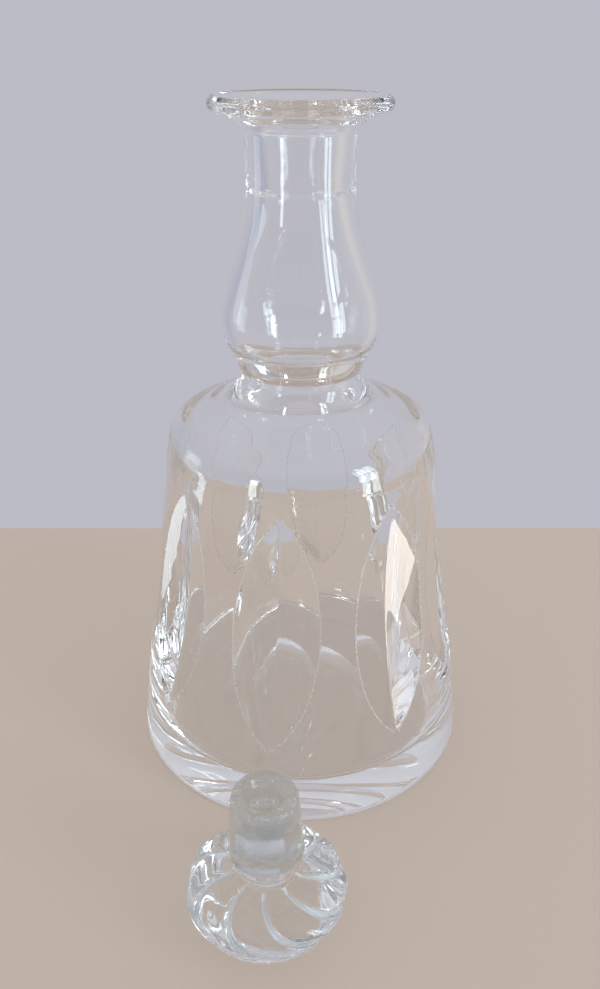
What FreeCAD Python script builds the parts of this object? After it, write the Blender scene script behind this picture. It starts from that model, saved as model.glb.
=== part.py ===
"""Cut crystal decanter: a bottle with a ground neck, and its solid swirled stopper.

Millimetres. +Z up, origin at the centre of the bottle's flat base. The stopper stands upside down
on the same surface, in front (-Y) and a little to the left (-X) of the bottle.
"""
import FreeCAD
import Part
import math
import os

V = FreeCAD.Vector
UP = V(0, 0, 1)

# ---- bottle ----
LIP_R = 28.2            # widest radius of the flared lip
LIP_Z = 235.3           # top of the lip, the bottle's full height
NECK_R = 17.1           # outside of the neck at its waist
BULB_R = 26.7           # pear-shaped bulb on the neck
PINCH_R = 20.8          # outside of the pinch between bulb and shoulder
BASE_R = 64.5           # outside of the base
FLOOR_Z = 11.7          # floor of the cavity above the surface the bottle stands on
PUNTY_R = 31.0          # shallow round hollow ground in the underside
PUNTY_DEPTH = 3.6
PUNTY_X = -2.5          # the hollow is a little off the bottle's axis
PUNTY_Y = -2.0
TAPER = 1 / 12          # ground taper of neck and plug, radius per length
BORE_TOP_R = 12.3       # ground bore at its upper end
BORE_TOP_Z = 228.0
BORE_LENGTH = 19.5

# ---- leaf cuts: V-edged wheel drawn down the side ----
LEAVES = 8
FIRST_LEAF_DEG = -54.0  # azimuth of one leaf, turned about +Z from -Y
LEAF_LOW = (60.9, 30.0)     # radius and height of the lower tip
LEAF_HIGH = (48.6, 115.8)   # radius and height of the upper tip
LEAF_SAG = 5.1          # depth of the keel below the line between the tips
LEAF_LEAN_DEG = 1.9     # the cuts lean a little, upper tip towards larger azimuth
FACET_SLOPE = 0.17      # fall of each facet towards the keel
WHEEL_HALF_WIDTH = 20.0

# ---- stopper, measured from the surface it stands on ----
STOPPER_X = -10.7
STOPPER_Y = -103.2
KNOB_R = 25.1
KNOB_LOBES = 9
GROOVE = 0.060          # depth of the grooves as a share of the radius
TWIST_DEG_PER_MM = 4.6  # swirl of the lobes along the axis
FIRST_GROOVE_DEG = 15.0     # angle from +X of one groove, at the foot of the knob
STOPPER_H = 57.0
PLUG_WIDE_R = 11.8
PLUG_WIDE_Z = 35.0
PLUG_ROUND = 3.0
NECK_WAIST_R = 9.2      # polished waist between plug and knob
HOLLOW_R = 6.6
HOLLOW_DEPTH = 3.6


def point(r, z):
    return V(r, 0, z)


def spline(points):
    curve = Part.BSplineCurve()
    curve.interpolate([point(r, z) for r, z in points])
    return curve.toShape()


def line(a, b):
    return Part.makeLine(point(*a), point(*b))


def arc(a, b, c):
    return Part.Arc(point(*a), point(*b), point(*c)).toShape()


def turned(edges):
    """Solid of revolution about +Z from the edges of a half profile."""
    face = Part.Face(Part.Wire(Part.__sortEdges__(edges)))
    return face.revolve(V(0, 0, 0), UP, 360)


def bottle_outside():
    foot = (BASE_R - 1.6, 0)
    side = (BASE_R, 1.9)
    neck_top = (NECK_R + 0.3, 225.4)
    lip_under = (LIP_R - 0.5, LIP_Z - 4.0)
    lip_over = (LIP_R - 1.3, LIP_Z)
    return turned([
        line((0, 0), foot),
        arc(foot, (BASE_R - 0.4, 0.6), side),
        spline([side, (61.6, 25), (56.2, 60), (51.2, 95), (48.4, 117), (46.4, 127), (43.9, 131.6),
                (38.8, 134.4), (32, 137.2), (25.2, 141.2), (PINCH_R, 147.6), (22.0, 153),
                (25.4, 160.4), (BULB_R, 168), (24.3, 179.5), (20.0, 193), (17.6, 204),
                (NECK_R, 213.5), neck_top]),
        spline([neck_top, (20.4, 228.0), (25.4, 230.2), lip_under]),
        arc(lip_under, (LIP_R, LIP_Z - 1.9), lip_over),
        line(lip_over, (0, LIP_Z)),
        line((0, LIP_Z), (0, 0)),
    ])


def bottle_hollow():
    bore_low_r = BORE_TOP_R - BORE_LENGTH * TAPER
    bore_low_z = BORE_TOP_Z - BORE_LENGTH
    rim = (LIP_R - 2.6, LIP_Z)
    mouth = (BORE_TOP_R, BORE_TOP_Z)
    ledge = (bore_low_r + 1.1, bore_low_z - 1.2)
    pinch = (12.2, 149.0)
    wall_low = (53.3, 24.0)
    floor = (50.5, FLOOR_Z + 0.5)
    return turned([
        line((0, LIP_Z + 5), (rim[0], LIP_Z + 5)),
        line((rim[0], LIP_Z + 5), rim),
        spline([rim, (19.5, 232.9), (14.6, 230.9), mouth]),
        line(mouth, (bore_low_r, bore_low_z)),
        line((bore_low_r, bore_low_z), ledge),
        spline([ledge, (13.3, 200.0), (16.4, 189.5), (21.0, 177.5), (23.5, 168.0), (22.2, 160.5),
                (16.6, 154.2), pinch]),
        spline([pinch, (14.6, 144.6), (24.0, 138.8), (33.0, 134.3), (39.2, 131.5), (42.8, 128.0),
                (44.3, 121.0), (45.9, 100), (48.2, 70), (50.9, 45), wall_low]),
        spline([wall_low, (53.9, 16.8), (53.3, 13.4), floor]),
        spline([floor, (25.0, FLOOR_Z + 0.2), (0, FLOOR_Z)]),
        line((0, FLOOR_Z), (0, LIP_Z + 5)),
    ])


def leaf_wheel():
    """Arc of the cutting wheel's V rim, placed for a leaf facing -Y."""
    (r_low, z_low), (r_high, z_high) = LEAF_LOW, LEAF_HIGH
    half = math.hypot(z_high - z_low, r_high - r_low) / 2
    wheel_r = (half ** 2 + LEAF_SAG ** 2) / (2 * LEAF_SAG)
    lean = math.atan2(r_low - r_high, z_high - z_low)
    reach = wheel_r - LEAF_SAG
    hub_r = (r_low + r_high) / 2 + reach * math.cos(lean)
    hub_z = (z_low + z_high) / 2 + reach * math.sin(lean)
    w = WHEEL_HALF_WIDTH
    fall = w * FACET_SLOPE
    depth = 26
    rim = Part.makePolygon([V(-w, 0, fall - wheel_r), V(0, 0, -wheel_r), V(w, 0, fall - wheel_r),
                            V(w, 0, depth - wheel_r), V(-w, 0, depth - wheel_r),
                            V(-w, 0, fall - wheel_r)])
    half_span = math.degrees(1.6 * half / wheel_r)
    wheel = Part.Face(rim)
    wheel.rotate(V(0, 0, 0), V(1, 0, 0), -half_span)
    wheel = wheel.revolve(V(0, 0, 0), V(1, 0, 0), 2 * half_span)
    wheel.rotate(V(0, 0, 0), V(1, 0, 0), 90 - math.degrees(lean))
    return wheel, hub_r, hub_z


def make_bottle():
    body = bottle_outside().cut(bottle_hollow())
    ball_r = (PUNTY_R ** 2 + PUNTY_DEPTH ** 2) / (2 * PUNTY_DEPTH)
    body = body.cut(Part.makeSphere(ball_r, V(PUNTY_X, PUNTY_Y, PUNTY_DEPTH - ball_r)))
    wheel, hub_r, hub_z = leaf_wheel()
    cutters = []
    for k in range(LEAVES):
        cutter = wheel.copy()
        cutter.translate(V(0, -hub_r, hub_z))
        cutter.rotate(V(0, 0, (LEAF_LOW[1] + LEAF_HIGH[1]) / 2), V(0, 1, 0), LEAF_LEAN_DEG)
        cutter.rotate(V(0, 0, 0), UP, FIRST_LEAF_DEG + k * 360 / LEAVES)
        cutters.append(cutter)
    return body.cut(cutters).Solids[0]


def lobed_ring(radius, z, groove):
    """Closed scalloped outline: round lobes that meet in sharp grooves, swirled with height."""
    turn = math.radians(TWIST_DEG_PER_MM * z - FIRST_GROOVE_DEG)
    pitch = 2 * math.pi / KNOB_LOBES
    steps = 6
    edges = []
    for k in range(KNOB_LOBES):
        points = []
        for i in range(steps + 1):
            a = (k + i / steps) * pitch - turn
            r = radius * (1 - groove * (1 - math.sin(math.pi * i / steps)))
            points.append(V(r * math.cos(a), r * math.sin(a), z))
        curve = Part.BSplineCurve()
        curve.interpolate(points)
        edges.append(curve.toShape())
    return Part.Wire(edges)


def make_stopper():
    sections = [(13.0, 0, 0.5), (15.4, 1.0, 0.7), (17.8, 4.0, 0.9), (20.4, 8.0, 1),
                (23.0, 12.4, 1), (KNOB_R, 16.4, 1), (24.4, 19.4, 1), (21.4, 22.0, 1),
                (16.2, 23.8, 1), (11.2, 24.8, 0.8)]
    rings = [lobed_ring(r, z, GROOVE * share) for r, z, share in sections]
    knob = Part.makeLoft(rings, True, False)
    end_r = PLUG_WIDE_R - (STOPPER_H - PLUG_ROUND - PLUG_WIDE_Z) * TAPER
    side_top = (end_r, STOPPER_H - PLUG_ROUND)
    rim = (HOLLOW_R + 1.0, STOPPER_H)
    wide = (PLUG_WIDE_R, PLUG_WIDE_Z)
    core = (NECK_WAIST_R, 12)
    waist = (NECK_WAIST_R, 27.0)
    plug = turned([
        line((0, 12), core),
        line(core, waist),
        spline([waist, (9.8, 30.0), (11.2, 33.3), wide]),
        line(wide, side_top),
        spline([side_top, (end_r - 0.8, STOPPER_H - 0.9), rim]),
        line(rim, (0, STOPPER_H)),
        line((0, STOPPER_H), (0, 12)),
    ])
    ball_r = (HOLLOW_R ** 2 + HOLLOW_DEPTH ** 2) / (2 * HOLLOW_DEPTH)
    ball = Part.makeSphere(ball_r, V(0, 0, STOPPER_H - HOLLOW_DEPTH + ball_r))
    stopper = knob.fuse(plug).cut(ball).Solids[0]
    stopper.translate(V(STOPPER_X, STOPPER_Y, 0))
    return stopper


os.makedirs("parts", exist_ok=True)
for node, solid in {"bottle": make_bottle(), "stopper": make_stopper()}.items():
    solid.exportStep("parts/" + node + ".step")
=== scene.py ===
import math
import bpy
import numpy as np
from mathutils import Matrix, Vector


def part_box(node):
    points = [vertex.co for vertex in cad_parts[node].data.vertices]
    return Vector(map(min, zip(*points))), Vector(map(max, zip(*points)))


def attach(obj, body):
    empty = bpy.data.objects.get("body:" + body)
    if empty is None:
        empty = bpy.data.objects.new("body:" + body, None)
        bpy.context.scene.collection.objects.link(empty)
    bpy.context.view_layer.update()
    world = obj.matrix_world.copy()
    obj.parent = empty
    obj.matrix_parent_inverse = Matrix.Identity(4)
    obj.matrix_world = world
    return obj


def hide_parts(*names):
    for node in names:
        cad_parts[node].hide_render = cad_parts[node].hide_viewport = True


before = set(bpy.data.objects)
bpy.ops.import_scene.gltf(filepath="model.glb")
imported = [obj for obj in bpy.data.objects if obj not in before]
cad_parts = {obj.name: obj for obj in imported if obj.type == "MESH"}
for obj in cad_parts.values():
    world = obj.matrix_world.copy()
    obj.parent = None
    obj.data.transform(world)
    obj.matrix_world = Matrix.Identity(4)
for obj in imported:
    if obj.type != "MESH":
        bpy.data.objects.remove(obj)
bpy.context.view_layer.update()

MM = 0.001
GROUND, PAINTED_HIGHLIGHT_LINE = 1, 2         # material slots: ground glass, and the edges of cuts or grooves made partly milky white as a painted highlight

# ---- bottle, in millimetres: radius and height along its profile ----
BASE_R = 64.5
LIP_R, LIP_Z = 28.2, 235.3
SIDE = [(64.5, 1.9), (61.6, 25), (56.2, 60), (51.2, 95), (48.4, 117), (46.4, 127), (43.9, 131.6),
        (38.8, 134.4), (32, 137.2), (25.2, 141.2), (20.8, 147.6), (22.0, 153), (25.4, 160.4),
        (26.7, 168), (24.3, 179.5), (20.0, 193), (17.6, 204), (17.1, 213.5), (17.4, 225.4)]
UNDER_LIP = [(17.4, 225.4), (20.4, 228.0), (25.4, 230.2), (27.7, 231.3)]
LIP_EDGE = [(27.7, 231.3), (28.2, 233.4), (26.9, 235.3)]
MOUTH = [(25.6, 235.3), (19.5, 232.9), (14.6, 230.9), (12.3, 228.0)]
BORE = [(12.3, 228.0), (10.675, 208.5), (11.775, 207.3)]
NECK_HOLLOW = [(11.775, 207.3), (13.3, 200.0), (16.4, 189.5), (21.0, 177.5), (23.5, 168.0),
               (22.2, 160.5), (16.6, 154.2), (12.2, 149.0)]
BODY_HOLLOW = [(12.2, 149.0), (14.6, 144.6), (24.0, 138.8), (33.0, 134.3), (39.2, 131.5), (42.8, 128.0),
               (44.3, 121.0), (45.9, 100), (48.2, 70), (50.9, 45), (53.3, 24.0)]
FLOOR_CORNER = [(53.3, 24.0), (53.9, 16.8), (53.3, 13.4), (50.5, 12.2)]
FLOOR = [(50.5, 12.2), (25.0, 11.9), (0, 11.7)]
PUNTY_R, PUNTY_DEPTH, PUNTY_X, PUNTY_Y = 31.0, 3.6, -2.5, -2.0
FOOT_R = 62.0               # the base's rings are centred on the axis from this radius outward

# ---- leaf cuts ----
LEAVES = 8
FIRST_LEAF = math.radians(-54.0)
LEAF_LOW, LEAF_HIGH = (60.9, 30.0), (48.6, 115.8)
LEAF_SAG = 5.1
FACET_SLOPE = 0.17
LEAF_MIDDLE, LEAF_TWIST, TWIST_REACH = 72.9, math.radians(0.035), 49
EDGE_BLEND, KEEL_BLEND = 0.10, 0.05

# ---- stopper, upside down on its knob ----
LOBES, LOBE_COLUMNS = 9, 40
TWIST = math.radians(4.6)
FIRST_GROOVE = math.radians(31)
LOBE_ROUND, GROOVE_DEPTH, GROOVE_HALF, GROOVE_LIT = 1.0, 1.0, 0.95, 1.15
CROWN = [(0.001, 0), (12.6, 0.0)]
KNOB = [(12.6, 0.0), (14.2, 0.35), (15.8, 1.5), (17.8, 4.0), (20.4, 8.0), (23.0, 12.4), (25.1, 16.4),
        (24.4, 19.4), (21.4, 22.0), (16.2, 23.8), (11.6, 24.7), (9.2, 24.9)]
WAIST = [(9.2, 24.9), (9.0, 27.0), (9.8, 30.0), (11.2, 33.3), (11.8, 35.0)]
PLUG = [(11.8, 35.0), (10.22, 54.0)]
PLUG_END = [(10.22, 54.0), (9.4, 56.1), (7.6, 57.0)]
RIM_CHIP = 0.45
HOLLOW = [(7.6, 57.0), (6.7, 56.8), (5.4, 55.1), (3.2, 53.8), (0, 53.4)]


def smooth_line(points, step):
    """Natural cubic spline through points, sampled about every step."""
    p = np.array(points, float)
    t = np.r_[0, np.cumsum(np.hypot(*np.diff(p, axis=0).T))]
    n = len(p)
    count = max(3, int(round(t[-1] / step)) + 1)
    at = np.linspace(0, t[-1], count)
    if n == 2:
        return np.stack([np.interp(at, t, p[:, k]) for k in range(2)], 1)
    h = np.diff(t)
    a = np.zeros((n, n))
    b = np.zeros((n, 2))
    a[0, 0] = a[-1, -1] = 1
    for i in range(1, n - 1):
        a[i, i - 1:i + 2] = h[i - 1], 2 * (h[i - 1] + h[i]), h[i]
        b[i] = 3 * ((p[i + 1] - p[i]) / h[i] - (p[i] - p[i - 1]) / h[i - 1])
    c = np.linalg.solve(a, b)
    k = np.clip(np.searchsorted(t, at, side="right") - 1, 0, n - 2)
    d = (at - t[k])[:, None]
    hk = h[k][:, None]
    slope = (p[k + 1] - p[k]) / hk - hk * (2 * c[k] + c[k + 1]) / 3
    return p[k] + slope * d + c[k] * d ** 2 + (c[k + 1] - c[k]) / (3 * hk) * d ** 3


def chain(parts):
    """Joins sampled stretches end to end without repeating the shared points."""
    out = [parts[0]]
    for part in parts[1:]:
        out.append(part[1:])
    return np.concatenate(out)


def soft_min(a, b, blend):
    """Smaller of two radii, rounded where they cross."""
    return 0.5 * (a + b - np.sqrt((a - b) ** 2 + blend ** 2))


def wheel():
    """Radius of the cutting wheel and the place of its hub."""
    (r0, z0), (r1, z1) = LEAF_LOW, LEAF_HIGH
    half = math.hypot(z1 - z0, r1 - r0) / 2
    radius = (half ** 2 + LEAF_SAG ** 2) / (2 * LEAF_SAG)
    lean = math.atan2(r0 - r1, z1 - z0)
    reach = radius - LEAF_SAG
    return radius, (r0 + r1) / 2 + reach * math.cos(lean), (z0 + z1) / 2 + reach * math.sin(lean)


WHEEL_R, HUB_R, HUB_Z = wheel()


def leaf_surface(angle, r, z):
    """Radius at which the wheel's V meets the ray at this angle from the leaf's middle."""
    rho = r * np.ones_like(angle)
    for _ in range(12):
        side = np.sqrt((rho * np.sin(angle)) ** 2 + KEEL_BLEND) - KEEL_BLEND ** 0.5
        reach = (WHEEL_R - side * FACET_SLOPE) ** 2 - (z - HUB_Z) ** 2
        rho = (HUB_R - np.sqrt(reach)) / np.cos(angle)
    return rho


def leaf_half_angle(r, z):
    """Half the leaf's width at this height, as an angle; 0 outside the leaf."""
    trial = np.linspace(0, math.radians(21), 200)
    inside = leaf_surface(trial, r, z) < r
    return trial[inside].max() if inside.any() else 0.0


HALF_SECTOR = math.pi / LEAVES
IN_LEAF = np.array([0.012, 0.035, 0.08, 0.15, 0.25, 0.38, 0.52, 0.66, 0.78, 0.88, 0.94, 0.965, 0.985, 1.0])
PAST_LEAF = np.array([0.025, 0.055, 0.10, 0.18, 0.30, 0.46, 0.64, 0.82, 1.0])


def column_angles(r, z):
    """Angles of the mesh columns over one leaf's sector, gathered along the leaf's edges."""
    edge = leaf_half_angle(r, z)
    away = max(LEAF_LOW[1] - z, z - LEAF_HIGH[1], 0)
    edge = max(edge, math.radians(min(11.25, 0.7 + 0.9 * away)))
    half = np.r_[edge * IN_LEAF, edge + (HALF_SECTOR - edge) * PAST_LEAF]
    return np.r_[-half[-2::-1], 0, half]


def ring(r, z, cut):
    """One ring of the bottle's mesh. cut says whether the leaves reach this ring."""
    offsets = column_angles(r, z) if cut else column_angles(60.0, -50.0)
    rho = np.full(len(offsets), float(r))
    if cut:
        rho = soft_min(rho, leaf_surface(offsets, r, z), EDGE_BLEND)
    points = []
    off_axis = np.clip((FOOT_R - r) / (FOOT_R - PUNTY_R), 0, 1) if z < PUNTY_DEPTH + 0.1 else 0.0
    twist = LEAF_TWIST * np.clip(z - LEAF_MIDDLE, -TWIST_REACH, TWIST_REACH)
    for k in range(LEAVES):
        a = FIRST_LEAF + twist + k * 2 * HALF_SECTOR + offsets
        points.append(np.stack([rho * np.sin(a) + PUNTY_X * off_axis, -rho * np.cos(a) + PUNTY_Y * off_axis,
                                np.full(len(a), float(z))], 1))
    return np.concatenate(points)


def mesh_from_rings(name, rings):
    """Closed mesh from rings of equal length; the first and last ring are single points."""
    n = len(rings[0])
    verts = [rings[0][:1]] + list(rings[1:-1]) + [rings[-1][:1]]
    faces = []
    count = len(rings) - 2
    ids = np.arange(n)
    nxt = (ids + 1) % n
    quads = []
    for i in range(count - 1):
        lo, hi = 1 + i * n, 1 + (i + 1) * n
        quads.append(np.stack([lo + ids, lo + nxt, hi + nxt, hi + ids], 1))
    quads = np.concatenate(quads)
    top = 1 + count * n
    fan_a = np.stack([np.zeros(n, int), 1 + nxt, 1 + ids], 1)
    last = 1 + (count - 1) * n
    fan_b = np.stack([np.full(n, top), last + ids, last + nxt], 1)
    verts = np.concatenate(verts)
    faces = quads.tolist() + fan_a.tolist() + fan_b.tolist()
    mesh = bpy.data.meshes.new(name)
    mesh.from_pydata((verts * MM).tolist(), [], faces)
    mesh.update()
    mesh.shade_smooth()
    obj = bpy.data.objects.new(name, mesh)
    bpy.context.scene.collection.objects.link(obj)
    return obj


def make_bottle():
    outer = chain([
        [(r, PUNTY_DEPTH * (1 - (r / PUNTY_R) ** 2)) for r in np.linspace(0.001, PUNTY_R - 0.2, 18)],
        [(0, 0), (PUNTY_R, 0.0), (PUNTY_R + 0.2, 0.0)],
        smooth_line([(PUNTY_R + 0.2, 0), (62.9, 0)], 4.0),
        smooth_line([(62.9, 0), (64.1, 0.6), (64.5, 1.9)], 0.3),
        smooth_line(SIDE, 0.8),
        smooth_line(UNDER_LIP, 0.5),
        smooth_line(LIP_EDGE, 0.3),
        smooth_line([(26.9, 235.3), (25.6, 235.3)], 0.6),
    ])
    inner = chain([
        smooth_line(MOUTH, 0.6),
        smooth_line(BORE[:2], 1.0),
        smooth_line(BORE[1:], 0.4),
        smooth_line(NECK_HOLLOW, 0.8),
        smooth_line(BODY_HOLLOW, 1.0),
        smooth_line(FLOOR_CORNER, 0.5),
        smooth_line(FLOOR, 2.0),
    ])
    rings = [ring(r, z, 24 < z < 122) for r, z in outer]
    rings += [ring(r, z, False) for r, z in inner[1:]]
    obj = mesh_from_rings("crystal_bottle", rings)
    columns = len(rings[0]) // LEAVES
    middle, edge = columns // 2 - 1, len(IN_LEAF)
    # faces on both sides of each leaf's edges get the milky material, a painted highlight that draws the edges as
    # bright lines
    for i, (r, z) in enumerate(outer[1:]):
        if LEAF_LOW[1] - 1 < z < LEAF_HIGH[1] + 1:
            for k in range(len(rings[0])):
                away = k % columns - middle
                if away in (edge - 1, edge, -edge, 1 - edge - 2):
                    obj.data.polygons[i * len(rings[0]) + k].material_index = PAINTED_HIGHLIGHT_LINE
    return obj


def make_stopper():
    low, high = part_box("stopper")
    cx, cy = (low.x + high.x) / 2 / MM, (low.y + high.y) / 2 / MM
    knob = chain([smooth_line(CROWN, 2.5), smooth_line(KNOB, 0.35)])
    rest = chain([smooth_line(WAIST, 0.5), smooth_line(PLUG, 0.7), smooth_line(PLUG_END, 0.3),
                  smooth_line(HOLLOW, 0.5)])
    n = LOBES * LOBE_COLUMNS
    step = np.arange(LOBE_COLUMNS) / LOBE_COLUMNS - 0.5
    step = np.sign(step) * (0.5 - (0.5 - np.abs(step)) * (0.35 + 1.3 * (0.5 - np.abs(step))))
    base = ((np.arange(LOBES)[:, None] + step[None, :]) * 2 * math.pi / LOBES).ravel()
    rings = []
    tangent = np.gradient(knob, axis=0)
    tangent /= np.linalg.norm(tangent, axis=1)[:, None]
    for (r, z), (tr, tz) in zip(knob, tangent):
        a = base + math.pi / LOBES + FIRST_GROOVE - TWIST * z
        x = np.abs(np.tile(0.5 - np.abs(step), LOBES)) * 2
        from_groove = x * math.pi * r / LOBES
        drop = LOBE_ROUND * (1 - x) ** 2 * r / 25 + GROOVE_DEPTH * np.exp(-(from_groove / GROOVE_HALF) ** 2)
        drop = drop * (np.clip((r - 9.2) / 1.8, 0, 1) if z > 12 else np.clip((r - 11) / 5, 0, 1) * (0.4 + z / 20))
        rr, zz = r - drop * tz, z + drop * tr
        rings.append(np.stack([cx + rr * np.sin(a), cy - rr * np.cos(a), np.maximum(zz, 0.0)], 1))
    a_end = a
    chips = np.repeat(np.random.default_rng(4).random(n // 3) ** 3, 3)
    for r, z in rest[1:]:
        chip = RIM_CHIP * chips * (z > PLUG_END[1][1] - 0.3 and r > HOLLOW[1][0])
        rings.append(np.stack([cx + r * np.sin(a_end), cy - r * np.cos(a_end), z - chip], 1))
    obj = mesh_from_rings("crystal_stopper", rings)
    # faces along the knob's grooves get the milky material, a painted highlight that makes the grooves show
    # bright
    for i, (r, z) in enumerate(knob[1:-1]):
        near = 0.5 - np.abs(np.tile(step, LOBES))
        for k in np.nonzero(near * 2 * math.pi * r / LOBES < GROOVE_LIT * r / KNOB[6][0])[0]:
            if z > 3:
                obj.data.polygons[i * n + int(k)].material_index = PAINTED_HIGHLIGHT_LINE
    return obj


def noise(nt, scale, detail, coords):
    node = nt.nodes.new("ShaderNodeTexNoise")
    node.inputs["Scale"].default_value = scale
    node.inputs["Detail"].default_value = detail
    nt.links.new(coords, node.inputs["Vector"])
    return node.outputs["Fac"]


def ranged(nt, value, from_low, from_high, to_low, to_high):
    node = nt.nodes.new("ShaderNodeMapRange")
    for key, number in (("From Min", from_low), ("From Max", from_high), ("To Min", to_low), ("To Max", to_high)):
        node.inputs[key].default_value = number
    nt.links.new(value, node.inputs["Value"])
    return node.outputs["Result"]


def glass(name, rough_low, rough_high, grain, wave, wave_depth, clear=1.0, tint=(0.995, 0.998, 1.0)):
    """Lead crystal. Roughness varies with fine noise and the surface has a faint wave. A clear below 1 turns part
    of it milky white, which the cut edges and the knob's grooves use as a painted highlight.
    """
    mat = bpy.data.materials.new(name)
    mat.use_nodes = True
    nt = mat.node_tree
    bsdf = nt.nodes["Principled BSDF"]
    bsdf.inputs["Base Color"].default_value = (*tint, 1)
    bsdf.inputs["Transmission Weight"].default_value = clear
    bsdf.inputs["IOR"].default_value = 1.545
    where = nt.nodes.new("ShaderNodeTexCoord").outputs["Object"]
    nt.links.new(ranged(nt, noise(nt, grain, 3, where), 0.35, 0.7, rough_low, rough_high),
                 bsdf.inputs["Roughness"])
    bump = nt.nodes.new("ShaderNodeBump")
    bump.inputs["Strength"].default_value = 1.0
    bump.inputs["Distance"].default_value = wave_depth
    nt.links.new(noise(nt, wave, 2, where), bump.inputs["Height"])
    nt.links.new(bump.outputs["Normal"], bsdf.inputs["Normal"])
    return mat


def grind(obj, low, high, inside):
    """Gives the ground-glass material to the faces between two heights, inner or outer side."""
    for face in obj.data.polygons:
        c = face.center / MM
        if low < c.z < high and inside(c, face.normal):
            face.material_index = GROUND


bottle = make_bottle()
bottle.data.materials.append(glass("crystal", 0.0, 0.010, 300, 30, 0.00008))
bottle.data.materials.append(glass("ground_bore", 0.04, 0.10, 900, 2500, 0.00002))
# cut edges: partly milky and rough so the leaf edges show as bright lines, a painted highlight rather than a
# finish of the glass
bottle.data.materials.append(glass("cut_edge_painted_highlight", 0.15, 0.40, 500, 900, 0.00004, clear=0.72))
grind(bottle, BORE[1][1], BORE[0][1], lambda c, n: math.hypot(c.x, c.y) < 14)
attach(bottle, "bottle")
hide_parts("bottle")

stopper = make_stopper()
stopper.data.materials.append(glass("crystal_knob", 0.0, 0.010, 300, 60, 0.00006))
stopper.data.materials.append(glass("ground_plug", 0.05, 0.17, 500, 1500, 0.00006, tint=(0.66, 0.74, 0.78)))
# knob grooves: partly milky bluish white so the grooves show bright, a painted highlight
stopper.data.materials.append(glass("knob_groove_painted_highlight", 0.06, 0.28, 450, 900, 0.00008, clear=0.45,
                                     tint=(0.93, 0.98, 1.0)))
grind(stopper, PLUG[0][1], 60, lambda c, n: True)
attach(stopper, "stopper")
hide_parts("stopper")


def plain(name, color, roughness=0.8, glow=(1, 1, 1), strength=0.0):
    mat = bpy.data.materials.new(name)
    mat.use_nodes = True
    bsdf = mat.node_tree.nodes["Principled BSDF"]
    bsdf.inputs["Base Color"].default_value = (*color, 1)
    bsdf.inputs["Roughness"].default_value = roughness
    bsdf.inputs["Emission Color"].default_value = (*glow, 1)
    bsdf.inputs["Emission Strength"].default_value = strength
    return mat


def slab(name, x0, x1, y0, y1, top, thick, mat):
    mesh = bpy.data.meshes.new(name)
    v = [(x, y, z) for z in (top - thick, top) for x, y in ((x0, y0), (x1, y0), (x1, y1), (x0, y1))]
    f = [(3, 2, 1, 0), (4, 5, 6, 7), (0, 1, 5, 4), (1, 2, 6, 5), (2, 3, 7, 6), (3, 0, 4, 7)]
    mesh.from_pydata(v, [], f)
    obj = bpy.data.objects.new(name, mesh)
    bpy.context.scene.collection.objects.link(obj)
    mesh.materials.append(mat)
    return obj


slab("floor", -0.7, 0.7, -0.8, 0.145, -0.0002, 0.03,
     plain("light_table", (0.26, 0.22, 0.19), glow=(1.0, 0.84, 0.72), strength=0.34))

# ---- studio: plain room seen as soft areas of different brightness, by direction ----
world = bpy.data.worlds.new("studio")
bpy.context.scene.world = world
world.use_nodes = True
sky = world.node_tree
aim = sky.nodes.new("ShaderNodeSeparateXYZ")
sky.links.new(sky.nodes.new("ShaderNodeTexCoord").outputs["Generated"], aim.inputs[0])


def blend(fac, low, high, first, second):
    """Mixes from one colour or socket to the next as fac goes from low to high."""
    mix = sky.nodes.new("ShaderNodeMix")
    mix.data_type = "RGBA"
    share = ranged(sky, fac, low, high, 0, 1)
    share.node.interpolation_type = "SMOOTHSTEP"
    sky.links.new(share, mix.inputs["Factor"])
    for socket, value in ((mix.inputs[6], first), (mix.inputs[7], second)):
        if isinstance(value, tuple):
            socket.default_value = (*value, 1)
        else:
            sky.links.new(value, socket)
    return mix.outputs[2]


WALL, CEILING, FRONT_ROOM = (0.50, 0.50, 0.56), (0.62, 0.63, 0.68), (0.34, 0.34, 0.38)
SIDE_ROOM, COOL_SIDE, LOW = (0.62, 0.60, 0.60), (0.40, 0.42, 0.50), (0.30, 0.22, 0.17)
tone = blend(aim.outputs["X"], 0.35, 0.9, WALL, SIDE_ROOM)
tone = blend(aim.outputs["X"], -0.9, -0.35, COOL_SIDE, tone)
tone = blend(aim.outputs["Y"], -0.55, 0.05, FRONT_ROOM, tone)
tone = blend(aim.outputs["Z"], 0.35, 0.8, tone, CEILING)
tone = blend(aim.outputs["Z"], -0.75, -0.6, LOW, tone)
sky.links.new(tone, sky.nodes["Background"].inputs["Color"])


def area_light(name, width, height, radiance, color, place, facing):
    """Rectangular light at a place, facing a direction, not itself in the picture."""
    light = bpy.data.lights.new(name, "AREA")
    light.shape = "RECTANGLE"
    light.size, light.size_y = width, height
    light.energy = radiance * math.pi * width * height
    light.color = color
    obj = bpy.data.objects.new(name, light)
    bpy.context.scene.collection.objects.link(obj)
    obj.location = place
    obj.rotation_euler = facing.to_track_quat("-Z", "Y").to_euler()
    obj.visible_camera = False
    return obj


def window(name, azimuth, distance, low, high, width, radiance, color, columns=2, rows=2, gap=0.05):
    """Upright bright window of several panes, facing the bottle, at an azimuth from -Y toward +X."""
    a = math.radians(azimuth)
    out, side = Vector((math.sin(a), -math.cos(a), 0)), Vector((math.cos(a), math.sin(a), 0))
    w = (width - gap * (columns - 1)) / columns
    h = (high - low - gap * (rows - 1)) / rows
    for i in range(columns):
        for k in range(rows):
            across = side * ((w + gap) * (i - (columns - 1) / 2))
            up = Vector((0, 0, low + h / 2 + k * (h + gap)))
            area_light(name, w, h, radiance, color, out * distance + across + up, -out)


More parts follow.
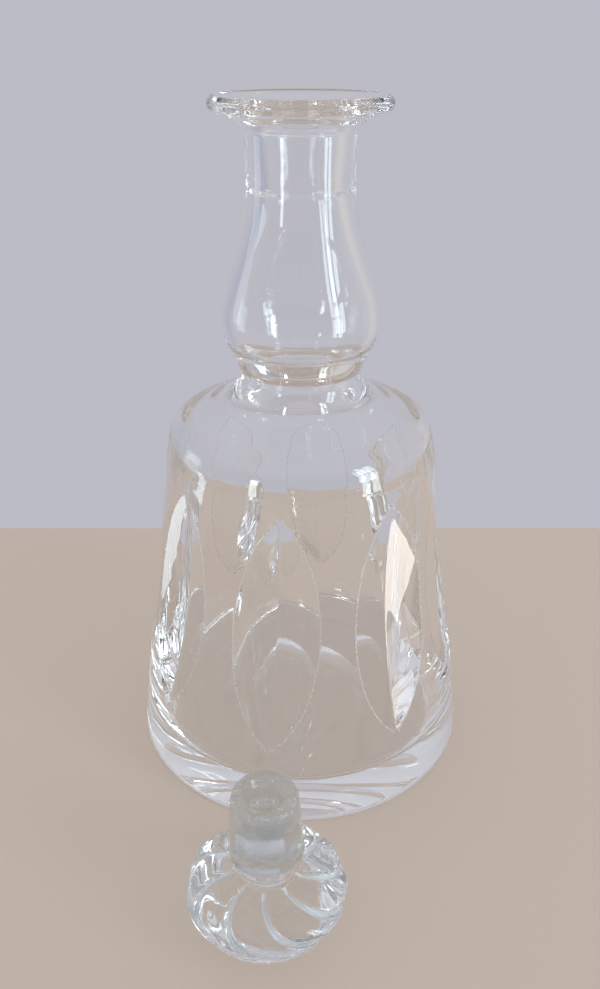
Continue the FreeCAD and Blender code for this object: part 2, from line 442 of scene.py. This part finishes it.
def small_panel(name, place, target, width, depth, radiance, color):
    """Small bright panel low beside the object, mirrored in one leaf cut. It doesn't light the floor."""
    obj = area_light(name, width, depth, radiance, color, place, Vector(target) - Vector(place))
    obj.visible_diffuse = False


window("window_right", 57, 1.3, -0.10, 1.12, 0.36, 7.0, (0.82, 0.97, 1))
window("window_left", -38, 1.4, -0.15, 0.45, 0.16, 8.0, (0.88, 0.96, 1), columns=1, rows=1)
window("window_far_left", -100, 1.5, -0.1, 0.5, 0.5, 1.4, (0.80, 0.93, 1), columns=1, rows=1)
small_panel("panel_right", (0.167, -0.116, 0.006), (0.034, -0.037, 0.09), 0.027, 0.011, 7.5, (1, 0.95, 0.89))
small_panel("panel_right_mid", (0.182, -0.148, 0.005), (0.036, -0.039, 0.06), 0.028, 0.010, 2.2, (1, 0.97, 0.95))
small_panel("panel_right_low", (0.207, -0.188, 0.005), (0.036, -0.047, 0.037), 0.026, 0.007, 4.5, (1, 0.97, 0.95))
small_panel("panel_left", (-0.208, -0.004, 0.006), (-0.048, -0.021, 0.08), 0.03, 0.07, 4, (0.72, 0.90, 1))

# ---- film and light paths: clear thick glass needs many bounces ----
bpy.context.scene.view_settings.view_transform = "Standard"
bpy.context.scene.cycles.max_bounces = 40
bpy.context.scene.cycles.transmission_bounces = 40
bpy.context.scene.cycles.glossy_bounces = 24

# ---- camera: metres, standing in front of the bottle and looking down at it ----
CAMERA_BACK, CAMERA_UP = 0.2847, 0.2528
CAMERA_PITCH = math.radians(28.28)
FOCAL_PX, IMAGE_H = 869.0, 989
camera = bpy.data.objects.new("camera", bpy.data.cameras.new("camera"))
bpy.context.scene.collection.objects.link(camera)
camera.location = (-0.0002, -CAMERA_BACK, CAMERA_UP)
camera.rotation_euler = (math.pi / 2 - CAMERA_PITCH, 0, 0)
camera.data.sensor_fit = "VERTICAL"
camera.data.sensor_height = 36.0
camera.data.lens = 36.0 * FOCAL_PX / IMAGE_H
camera.data.clip_start = 0.01
bpy.context.scene.camera = camera

bpy.context.view_layer.update()
